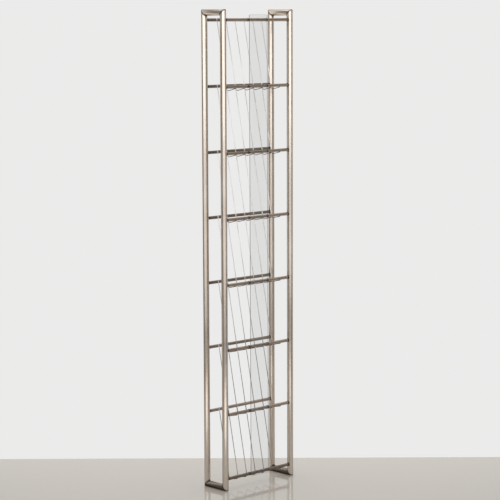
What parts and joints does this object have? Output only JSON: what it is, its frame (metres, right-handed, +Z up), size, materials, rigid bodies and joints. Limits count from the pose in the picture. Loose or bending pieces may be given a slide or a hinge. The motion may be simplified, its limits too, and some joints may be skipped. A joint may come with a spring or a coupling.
{
  "type": "periodical display rack",
  "caption": "Tall, narrow free-standing metal rack: tube side frames, level bars and tiers of sloping bent-wire cradles that show magazines face out, with a clear strip down the front.",
  "frame": {"origin": "on the floor, in the middle of the rack's footprint", "axes": "+Z up, +X to the right of someone facing the front, -Y to the front"},
  "size_m": [0.3434, 0.1164, 1.687],
  "materials": {
    "frame_tube": "satin nickel-toned plate, lightly worn",
    "bar": "satin nickel-toned plate, lightly worn",
    "wire": "bright drawn wire",
    "clear_strip": "clear, polished faces and duller sawn edges",
    "strip_clip": "dark oxide"
  },
  "bodies": {
    "root": {"left_front_upright": "frame_tube", "left_rear_upright": "frame_tube", "left_top_tube": "frame_tube", "left_bottom_tube": "frame_tube", "right_front_upright": "frame_tube", "right_rear_upright": "frame_tube", "right_top_tube": "frame_tube", "right_bottom_tube": "frame_tube", "front_bar_1": "bar", "front_bar_2": "bar", "front_bar_3": "bar", "front_bar_4": "bar", "front_bar_5": "bar", "front_bar_6": "bar", "front_bar_7": "bar", "front_bar_8": "bar", "rear_bar_1": "bar", "rear_bar_2": "bar", "rear_bar_3": "bar", "rear_bar_4": "bar", "rear_bar_5": "bar", "rear_bar_6": "bar", "rear_bar_7": "bar", "tier_1_wire_1": "wire", "tier_1_wire_2": "wire", "tier_1_wire_3": "wire", "tier_1_wire_4": "wire", "tier_1_wire_5": "wire", "tier_1_wire_6": "wire", "tier_2_wire_1": "wire", "tier_2_wire_2": "wire", "tier_2_wire_3": "wire", "tier_2_wire_4": "wire", "tier_2_wire_5": "wire", "tier_2_wire_6": "wire", "tier_3_wire_1": "wire", "tier_3_wire_2": "wire", "tier_3_wire_3": "wire", "tier_3_wire_4": "wire", "tier_3_wire_5": "wire", "tier_3_wire_6": "wire", "tier_4_wire_1": "wire", "tier_4_wire_2": "wire", "tier_4_wire_3": "wire", "tier_4_wire_4": "wire", "tier_4_wire_5": "wire", "tier_4_wire_6": "wire", "tier_5_wire_1": "wire", "tier_5_wire_2": "wire", "tier_5_wire_3": "wire", "tier_5_wire_4": "wire", "tier_5_wire_5": "wire", "tier_5_wire_6": "wire", "tier_6_wire_1": "wire", "tier_6_wire_2": "wire", "tier_6_wire_3": "wire", "tier_6_wire_4": "wire", "tier_6_wire_5": "wire", "tier_6_wire_6": "wire", "clear_front_strip": "clear_strip"}
  },
  "joints": []
}
